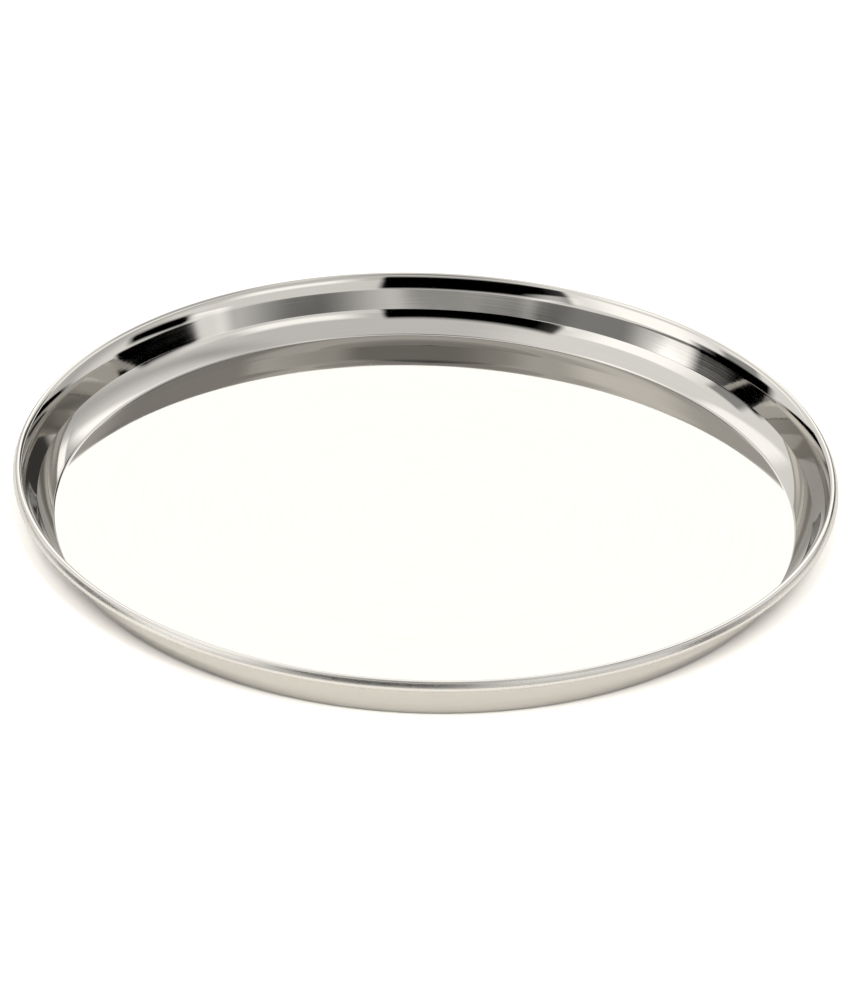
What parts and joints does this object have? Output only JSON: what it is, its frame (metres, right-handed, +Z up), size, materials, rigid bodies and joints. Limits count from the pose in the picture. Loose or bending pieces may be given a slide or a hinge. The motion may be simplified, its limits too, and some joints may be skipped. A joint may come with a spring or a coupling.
{
  "type": "thali plate",
  "caption": "Round, shallow steel dinner plate with a wide flat floor, a coved steep wall, a flared lip and a rim rolled over a wire.",
  "frame": {"origin": "centre of the flat base, on the surface that the plate stands on", "axes": "+Z up along the plate's axis; X and Y lie in the base, and the plate is the same from every side"},
  "size_m": [0.3, 0.3, 0.021],
  "materials": {
    "polished_steel": "polished",
    "steel_wire": "satin"
  },
  "bodies": {
    "root": {"pressed_plate": "polished_steel", "rim_wire": "steel_wire"}
  },
  "joints": []
}
